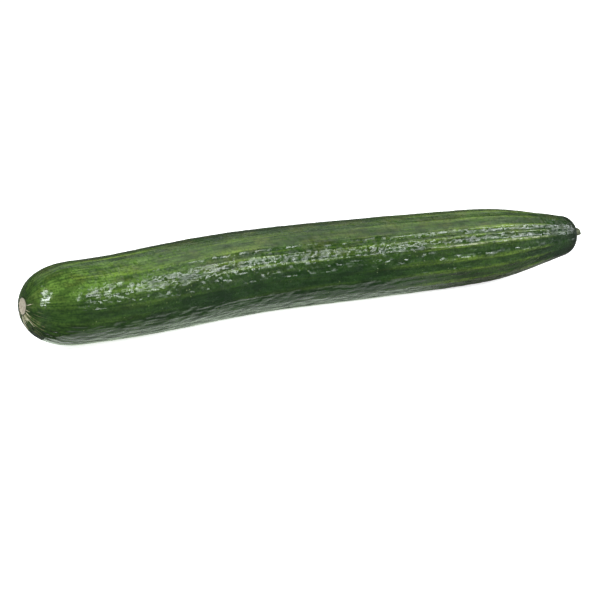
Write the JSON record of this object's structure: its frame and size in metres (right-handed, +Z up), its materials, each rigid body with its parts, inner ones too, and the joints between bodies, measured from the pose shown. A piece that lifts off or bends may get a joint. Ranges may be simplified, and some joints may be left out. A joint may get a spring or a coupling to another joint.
{
  "type": "cucumber",
  "caption": "Whole long salad cucumber lying on its belly: a ribbed, slightly bent fruit with a rounded blossom end, a narrower neck and a short cut stem.",
  "frame": {"origin": "on the table under the middle of the part's bounding box", "axes": "+Z up, +X along the fruit from the blossom end to the stem end, +Y across it, away from the viewer"},
  "size_m": [0.3368, 0.0558, 0.0423],
  "materials": {
    "skin": "waxy dark green skin, paler along the ribs, glossy",
    "stem": "dull fibrous grey-green"
  },
  "bodies": {
    "root": {"fruit": "skin", "stem": "stem"}
  },
  "joints": []
}
